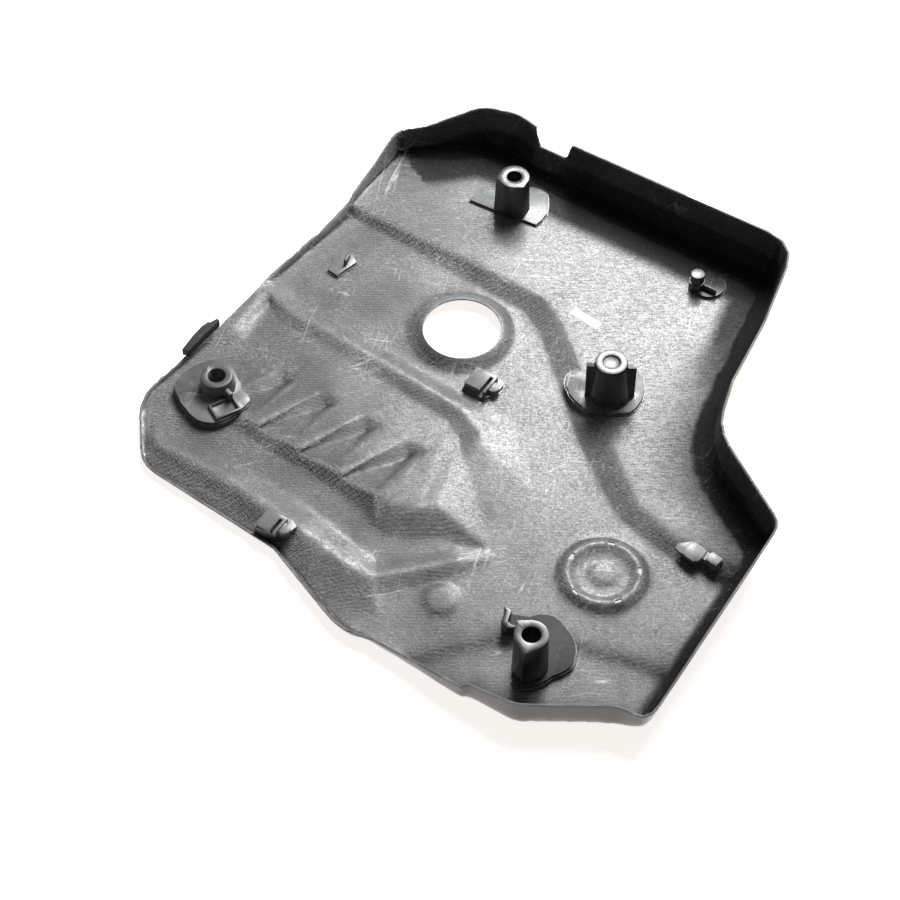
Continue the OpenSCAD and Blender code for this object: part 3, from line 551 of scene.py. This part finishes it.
@dataclass
class MouldedShell:
    """The pressed woven shell, with the soft bends of a hand-laid moulding.

    Lengths are in metres. A pair of numbers in a ramp is its start and its width.
    """

    # Cells that the faces are cut into, and how often they are smoothed, in the louvre region and elsewhere
    cell: float = 4.8 * MM
    passes: int = 7
    louvre_passes: int = 2
    louvres: tuple[tuple[float, float], tuple[float, float]] = ((-0.205, -0.02), (-0.165, -0.062))
    # Slight wave of the inner skin: its height, and how far from the rim it is full
    wave: float = 0.2 * MM
    wave_fade: float = 8.0 * MM
    # How the faces are told apart: rim, holes, inner and outer side
    wall_band: float = 26.0 * MM
    floor_band: float = 14.5 * MM
    solid_depth: float = 3.0 * MM
    outline_band: float = 25.0 * MM
    filler: tuple[float, float, float] = (-0.08836, 0.06117, 0.0396)
    badge: tuple[float, float, float] = (0.18064, -0.11683, 0.0385)
    # Pinched corners: how far inside the outline they are closed, and the last seam that is welded
    gap_inset: float = 12.0 * MM
    seam_gap: float = 0.8 * MM
    edge_break: float = 0.35 * MM
    # Lighter, streaked band near the rim, and painted glints on spots, each spot given as x, y, radius and
    # strength
    rim_reach: float = 15.0 * MM
    glint_spots: tuple[tuple[float, float, float, float], ...] = (
        (0.018, -0.031, 0.015, 1.0), (0.036, -0.046, 0.012, 0.7), (-0.006, -0.016, 0.01, 0.5))
    # Painted shadow below the walls and painted shade on the tall walls' faces: how far it reaches over the
    # floor, and which walls and depths count
    shade_span: float = 4.8
    shade_reach: tuple[float, float] = (24.0 * MM, 62.0 * MM)
    shade_depth: tuple[float, float] = (10.0 * MM, 16.0 * MM)
    steep_rim: tuple[float, float] = (22.0 * MM, 16.0 * MM)
    rear_reach: float = 58.0 * MM
    rear_from: tuple[float, float] = (0.12, 0.08)
    rear_fade: tuple[float, float] = (0.25, 0.4)
    # Painted shade on the lower side of the filler collar
    collar_shade_side: tuple[float, float] = (-0.25, -0.97)
    collar_shade_width: float = 11.0 * MM
    collar_shade_most: float = 0.85
    # Found while building: the outline's reach by degree, the rim's heights and Y, and lookups of the rim
    outline: list[float] = field(init=False)
    rim_top: list[float] = field(init=False)
    rim_y: list[float] = field(init=False)
    rim_tree: KDTree = field(init=False)
    plan: KDTree = field(init=False)

    def build(self, finishes: dict[str, bpy.types.Material]) -> bpy.types.Object:
        """Build the shell from the CAD solid.

        Args:
            finishes: Materials by name.

        Returns:
            The finished shell.
        """
        bm = cad_copy("shell")
        self._slice(bm)
        self._assign(bm)
        self._close_gaps(bm)
        self._soften(bm)
        self._break_edges(bm)
        self._store(bm)
        slots = [finishes["inner"], finishes["outer"], finishes["cut"]]
        shell = finish_piece(bm, "moulded_shell", slots, sharp=50.0)
        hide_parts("shell")
        return shell

    def _slice(self, bm: bmesh.types.BMesh) -> None:
        """Cut the faces into small cells, so that the bends can be rounded."""
        low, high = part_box("shell")
        cell = self.cell * 1.0
        for axis in range(3):
            normal = Vector((0, 0, 0))
            normal[axis] = 1.0
            count = int((high[axis] - low[axis]) / cell)
            for k in range(1, count + 1):
                place = low[axis] + k * cell - (0.37 * cell if axis < 2 else 0.0)
                if axis == 2 and place < self.floor_band:
                    continue
                point = Vector((0, 0, 0))
                point[axis] = place
                geometry = bm.verts[:] + bm.edges[:] + bm.faces[:]
                bmesh.ops.bisect_plane(bm, geom=geometry, dist=0.00002, plane_co=point, plane_no=normal)
        bmesh.ops.triangulate(bm, faces=[f for f in bm.faces if len(f.verts) > 4])

    @staticmethod
    def _bin(place: Vector) -> int:
        """Return the whole degree, seen from the middle, that a place lies at."""
        return int(math.degrees(math.atan2(place.y, place.x))) % 360

    def _inset(self, place: Vector) -> float:
        """Return how far inside the outline a place lies."""
        return self.outline[self._bin(place)] - math.hypot(place.x, place.y)

    def _is_at_hole(self, place: Vector) -> bool:
        """Tell whether a place lies at the filler opening or at the badge seat."""
        return any(math.hypot(place.x - x, place.y - y) < reach for x, y, reach in (self.filler, self.badge))

    def _is_cut(self, centre: Vector, normal: Vector, tree: BVHTree) -> bool:
        """Tell whether a face lies on the trimmed rim or on the wall of a hole."""
        if normal.z > 0.8:
            depth = tree.ray_cast(centre - normal * 0.05 * MM, -normal)[3]
            return depth is not None and depth > self.solid_depth and self._inset(centre) < self.outline_band
        if abs(normal.z) > 0.2 or centre.z > 2.0 * self.floor_band:
            return False
        return self._is_at_hole(centre)

    def _note_rim(self, rim: list[bmesh.types.BMVert]) -> None:
        """Keep the rim's places, for finding the nearest one in space and in plan."""
        self.rim_top = [vert.co.z for vert in rim]
        self.rim_y = [vert.co.y for vert in rim]
        self.rim_tree = KDTree(len(rim))
        self.plan = KDTree(len(rim))
        for k, vert in enumerate(rim):
            self.rim_tree.insert(vert.co, k)
            self.plan.insert((vert.co.x, vert.co.y, 0.0), k)
        self.rim_tree.balance()
        self.plan.balance()

    def _assign(self, bm: bmesh.types.BMesh) -> None:
        """Give each face the side of the wall that it belongs to."""
        bm.normal_update()
        tree = BVHTree.FromBMesh(bm)
        up = Vector((0, 0, 1))
        self.outline = [0.0] * 360
        for vert in bm.verts:
            place = self._bin(vert.co)
            self.outline[place] = max(self.outline[place], math.hypot(vert.co.x, vert.co.y))
        cut = [f for f in bm.faces if self._is_cut(f.calc_center_median(), f.normal, tree)]
        for face in cut:
            face.material_index = Skin.CUT_EDGE.value
        on_rim = {v for f in cut if f.normal.z > 0.8 for v in f.verts}
        self._note_rim([v for v in bm.verts if v in on_rim])
        for face in bm.faces:
            if face.material_index == Skin.CUT_EDGE.value:
                continue
            centre = face.calc_center_median()
            normal = face.normal
            near = self.plan.find((centre.x, centre.y, 0.0))[2] < self.wall_band
            near = near and (self._inset(centre) < self.gap_inset or centre.z > self.floor_band)
            if near and abs(normal.z) < 0.6:
                outward = normal.x * centre.x + normal.y * centre.y > 0
            else:
                outward = tree.ray_cast(centre + normal * 0.4 * MM, up)[0] is not None
            face.material_index = Skin.OUTER.value if outward else Skin.INNER.value

    def _is_inside(self, place: Vector) -> bool:
        """Tell whether a place lies clear of the rim and of the moulded holes."""
        return self._inset(place) > self.gap_inset and not self._is_at_hole(place)

    @staticmethod
    def _weld(bm: bmesh.types.BMesh, reach: float) -> None:
        """Join the vertices of open edges that lie within reach of one another."""
        bmesh.ops.remove_doubles(bm, verts=[v for v in bm.verts if v.is_boundary], dist=reach)

    def _close_gaps(self, bm: bmesh.types.BMesh) -> None:
        """Part the two skins where a pinched corner joins them inside the rim, and close each skin."""
        skins = {Skin.INNER.value, Skin.OUTER.value}
        joins = [e for e in bm.edges if {f.material_index for f in e.link_faces} == skins
            and self._is_inside((e.verts[0].co + e.verts[1].co) / 2)]
        if not joins:
            return
        bmesh.ops.split_edges(bm, edges=joins)
        filled = 0
        for _ in range(2):
            closed = bmesh.ops.holes_fill(bm, edges=[e for e in bm.edges if e.is_boundary], sides=0)["faces"]
            for face in closed:
                beside = [f for e in face.edges for f in e.link_faces if f not in closed]
                face.material_index = beside[0].material_index if beside else Skin.INNER.value
            bmesh.ops.triangulate(bm, faces=closed)
            filled += len(closed)
            self._weld(bm, 0.001 * MM)
        self._weld(bm, self.seam_gap)
        bmesh.ops.delete(bm, geom=[e for e in bm.edges if not e.link_faces], context="EDGES")
        left = sum(1 for e in bm.edges if e.is_boundary)
        LOG.info("closed %d pinched edges with %d faces, %d open edges left", len(joins), filled, left)

    def _soften(self, bm: bmesh.types.BMesh) -> None:
        """Round the bends, leave the rim and the holes crisp, and lay in a slight wave."""
        locked = {v for f in bm.faces if f.material_index == Skin.CUT_EDGE.value for v in f.verts}
        loose = [v for v in bm.verts if v not in locked]
        (left, right), (front, back) = self.louvres
        soft = [v for v in loose if not (left < v.co.x < right and front < v.co.y < back)]
        for k in range(self.passes):
            chosen = loose if k < self.louvre_passes else soft
            bmesh.ops.smooth_vert(
                bm, verts=chosen, factor=0.5, use_axis_x=True, use_axis_y=True, use_axis_z=True)
        bm.normal_update()
        for vert in loose:
            if all(f.material_index == Skin.INNER.value for f in vert.link_faces):
                height = noise.noise(vert.co * 30.0) + 0.4 * noise.noise(vert.co * 85.0)
                fade = min(1.0, self.rim_tree.find(vert.co)[2] / self.wave_fade)
                vert.co += vert.normal * height * self.wave * fade

    def _break_edges(self, bm: bmesh.types.BMesh) -> None:
        """Take the sharpness off the trimmed rim and the holes."""
        cut = Skin.CUT_EDGE.value
        edges = [e for e in bm.edges if len(e.link_faces) == 2
            and (e.link_faces[0].material_index == cut) != (e.link_faces[1].material_index == cut)]
        bmesh.ops.bevel(bm, geom=edges, offset=self.edge_break, offset_type="OFFSET", segments=1,
            profile=0.5, affect="EDGES", material=-1, clamp_overlap=True)

    def _collar_shade(self, place: Vector) -> float:
        """Return how dark the painted shade on the lower side of the filler collar is at a place."""
        x, y, edge = self.filler
        away = math.hypot(place.x - x, place.y - y)
        facing = ((place.x - x) * self.collar_shade_side[0] + (place.y - y) * self.collar_shade_side[1]) / max(away, MM)
        ring = math.exp(-((away - edge) / self.collar_shade_width) ** 2)
        return self.collar_shade_most * max(0.0, 0.5 + 0.5 * facing) ** 1.5 * ring

    def _painted_shade(self, vert: bmesh.types.BMVert) -> float:
        """Return how much painted shade a vertex gets, from 0 to 1: painted shadow below a near wall, painted
        shade on a tall wall's face and beside the filler collar.
        """
        _, place, away = self.plan.find((vert.co.x, vert.co.y, 0.0))
        top = self.rim_top[place]
        least, most = self.shade_reach
        reach = min(most, max(least, self.shade_span * (vert.co.z + 0.1 * MM)))
        rear = ramp(self.rim_y[place], *self.rear_from)
        reach += (self.rear_reach - reach) * rear
        depth = ramp(top - vert.co.z, *self.shade_depth)
        steep = max(0.0, 1.0 - abs(vert.normal.z)) * ramp(top, *self.steep_rim)
        fade = math.exp(-(away / reach) ** (2.0 + 2.0 * rear))
        fade += rear * (ramp(fade, *self.rear_fade) - fade)
        return max(depth * fade, steep, self._collar_shade(vert.co))

    def _rim_and_glint(self, vert: bmesh.types.BMVert) -> float:
        """Return how much a vertex is lightened, from 0 to 1: a band near the rim, and painted glints on the
        glint spots.
        """
        x, y = vert.co.x, vert.co.y
        spots = (
            strength * math.exp(-(((x - at_x) ** 2 + (y - at_y) ** 2) / radius ** 2))
            for at_x, at_y, radius, strength in self.glint_spots)
        return max(math.exp(-self.rim_tree.find(vert.co)[2] / self.rim_reach), *spots)

    def _store(self, bm: bmesh.types.BMesh) -> None:
        """Store how much each vertex is lightened near the rim and by painted glints, how it bends, and how much
        painted shade it gets below a near wall, on a tall wall and beside the filler collar.
        """
        bm.normal_update()
        rim = bm.verts.layers.float.new("rim")
        bend = bm.verts.layers.float.new("bend")
        painted_shade = bm.verts.layers.float.new("painted_shade")
        for vert in bm.verts:
            vert[rim] = self._rim_and_glint(vert)
            vert[painted_shade] = self._painted_shade(vert)
            lean = [(e.other_vert(vert).co - vert.co) for e in vert.link_edges]
            vert[bend] = sum(d.normalized().dot(vert.normal) for d in lean) / max(1, len(lean))
        for _ in range(2):
            eased = {}
            for vert in bm.verts:
                around = sum(e.other_vert(vert)[bend] for e in vert.link_edges) / max(1, len(vert.link_edges))
                eased[vert] = 0.5 * vert[bend] + 0.5 * around
            for vert, value in eased.items():
                vert[bend] = value


@dataclass
class Fitting:
    """A bonded piece: the CAD solid with broken edges. Its plate is what lies below a height in mm."""

    node: str
    slot: str
    finish: str
    plate: float = 0.0
    plate_finish: str = "plate"
    edge: float = 0.5 * MM

    def build(self, finishes: dict[str, bpy.types.Material]) -> bpy.types.Object:
        """Break the sharp edges of the CAD solid and dress it.

        Args:
            finishes: Materials by name.

        Returns:
            The finished piece.
        """
        bm = cad_copy(self.node)
        turn = math.radians(38)
        turning = [e for e in bm.edges if len(e.link_faces) == 2 and e.calc_face_angle(0.0) > turn]
        bmesh.ops.bevel(bm, geom=turning, offset=self.edge, offset_type="OFFSET", segments=2,
            profile=0.5, affect="EDGES", material=-1, clamp_overlap=True)
        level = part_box(self.node)[0][2] + self.plate * MM
        for face in bm.faces:
            face.material_index = int(face.calc_center_median().z < level)
        slots = [finishes[self.finish], finishes[self.plate_finish]]
        piece = finish_piece(bm, f"{self.node}_detailed", slots)
        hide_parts(self.node)
        return piece


FITTINGS = (
    Fitting("upper_post", "black_plastic", "black", 4.5),
    Fitting("centre_post", "black_plastic", "black", 4.5),
    Fitting("lower_post", "black_plastic", "black", 4.5, "dark_plate"),
    Fitting("left_post", "grey_plastic", "grey", 5.0),
    Fitting("locating_stub", "black_plastic", "black"),
    Fitting("rear_clip", "grey_plastic", "grey", 2.5),
    Fitting("middle_clip", "grey_plastic", "plate", 2.5),
    Fitting("front_clip", "grey_plastic", "plate", 2.5),
    Fitting("right_clip", "grey_plastic", "plate", 2.5),
    Fitting("rim_pad", "torn_rubber", "rubber"),
)


@dataclass
class Studio:
    """White floor, two soft lamps behind the cover, and the camera."""

    camera_at: tuple[float, float, float] = (0.75634, -1.26153, 1.8107)
    aim: tuple[float, float, float] = (-0.01966, -0.06663, 0.0)
    lens: float = 96.0
    key_at: tuple[float, float, float] = (-0.27, 0.78, 0.86)
    key_size: float = 0.45
    key_power: float = 13.5
    wide_at: tuple[float, float, float] = (-0.2, 1.4, 1.7)
    wide_size: float = 1.4
    wide_power: float = 46.0
    world: float = 0.1

    def build(self) -> None:
        """Set the view, the light and the floor."""
        scene = bpy.context.scene
        scene.view_settings.view_transform = "Standard"
        self._camera(scene)
        self._lamp("near_window", self.key_at, self.key_size, self.key_power)
        self._lamp("wide_window", self.wide_at, self.wide_size, self.wide_power)
        self._world(scene)
        self._floor()

    def _camera(self, scene: bpy.types.Scene) -> None:
        """Place the camera where the photograph was taken from."""
        data = bpy.data.cameras.new("camera")
        data.lens = self.lens
        data.sensor_width = 36.0
        data.clip_end = 50.0
        camera = bpy.data.objects.new("camera", data)
        camera.location = self.camera_at
        sight = Vector(self.aim) - Vector(self.camera_at)
        camera.rotation_euler = sight.to_track_quat("-Z", "Y").to_euler()
        scene.collection.objects.link(camera)
        scene.camera = camera

    @staticmethod
    def _lamp(name: str, place: tuple[float, float, float], size: float, power: float) -> None:
        """Add a square soft lamp that faces the cover."""
        data = bpy.data.lights.new(name, "AREA")
        data.size = size
        data.energy = power
        lamp = bpy.data.objects.new(name, data)
        lamp.location = place
        lamp.rotation_euler = (-Vector(place)).to_track_quat("-Z", "Y").to_euler()
        bpy.context.scene.collection.objects.link(lamp)

    def _world(self, scene: bpy.types.Scene) -> None:
        """White behind everything that the camera sees, soft light for the rest."""
        world = bpy.data.worlds.new("studio")
        world.use_nodes = True
        world.node_tree.nodes.clear()
        g = Graph(world.node_tree)
        out = g.add("ShaderNodeOutputWorld")
        seen = g.add("ShaderNodeBackground")
        seen.inputs["Strength"].default_value = 1.0
        seen.inputs["Color"].default_value = (1, 1, 1, 1)
        light = g.add("ShaderNodeBackground")
        light.inputs["Strength"].default_value = self.world
        light.inputs["Color"].default_value = (1, 1, 1, 1)
        path = g.add("ShaderNodeLightPath")
        mix = g.add("ShaderNodeMixShader")
        g.feed(mix.inputs[0], path.outputs["Is Camera Ray"])
        g.feed(mix.inputs[1], light.outputs[0])
        g.feed(mix.inputs[2], seen.outputs[0])
        g.feed(out.inputs["Surface"], mix.outputs[0])
        scene.world = world

    def _floor(self) -> None:
        """Lay the white floor just under the cover."""
        bm = bmesh.new()
        bmesh.ops.create_grid(bm, x_segments=1, y_segments=1, size=6.0)
        bmesh.ops.translate(bm, verts=bm.verts, vec=(0, 0, -0.5 * MM))
        mesh = bpy.data.meshes.new("floor")
        bm.to_mesh(mesh)
        bm.free()
        floor = bpy.data.objects.new("floor", mesh)
        bpy.context.scene.collection.objects.link(floor)
        material = bpy.data.materials.new("white_floor")
        material.use_nodes = True
        material.node_tree.nodes.clear()
        g = Graph(material.node_tree)
        out = g.add("ShaderNodeOutputMaterial")
        matt = g.add("ShaderNodeBsdfDiffuse")
        matt.inputs["Color"].default_value = (0.84, 0.87, 0.9, 1)
        glow = g.add("ShaderNodeEmission")
        glow.inputs["Color"].default_value = (1.0, 0.95, 0.91, 1)
        glow.inputs["Strength"].default_value = 0.86
        both = g.add("ShaderNodeAddShader")
        g.feed(both.inputs[0], matt.outputs[0])
        g.feed(both.inputs[1], glow.outputs[0])
        path = g.add("ShaderNodeLightPath")
        mix = g.add("ShaderNodeMixShader")
        seen = g.math("MAXIMUM", path.outputs["Is Camera Ray"], path.outputs["Is Glossy Ray"])
        g.feed(mix.inputs[0], seen)
        g.feed(mix.inputs[1], matt.outputs[0])
        g.feed(mix.inputs[2], both.outputs[0])
        g.feed(out.inputs["Surface"], mix.outputs[0])
        mesh.materials.append(material)


def main() -> None:
    """Build every piece in order."""
    logging.basicConfig(level=logging.INFO, format="%(name)s: %(message)s")
    Studio().build()
    groups = EffectGroups()
    finishes = {
        name: finish.build(groups) for name, finish in (
            ("inner", INNER_WEAVE), ("outer", OUTER_WEAVE), ("cut", CUT_EDGE), ("black", BLACK_PLASTIC),
            ("grey", GREY_PLASTIC), ("plate", PLATE_PLASTIC), ("dark_plate", CUT_PLATE),
            ("adhesive", ADHESIVE), ("label", LABEL), ("rubber", RUBBER))
    }
    MouldedShell().build(finishes)
    for fitting in FITTINGS:
        fitting.build(finishes)
    for node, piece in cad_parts.items():
        if node.endswith("_bond") or node == "blank_label":
            piece.data.materials.clear()
            piece.data.materials.append(finishes["label" if node == "blank_label" else "adhesive"])
            LOG.info("%s: dressed", node)


if __name__ == "__main__":
    main()
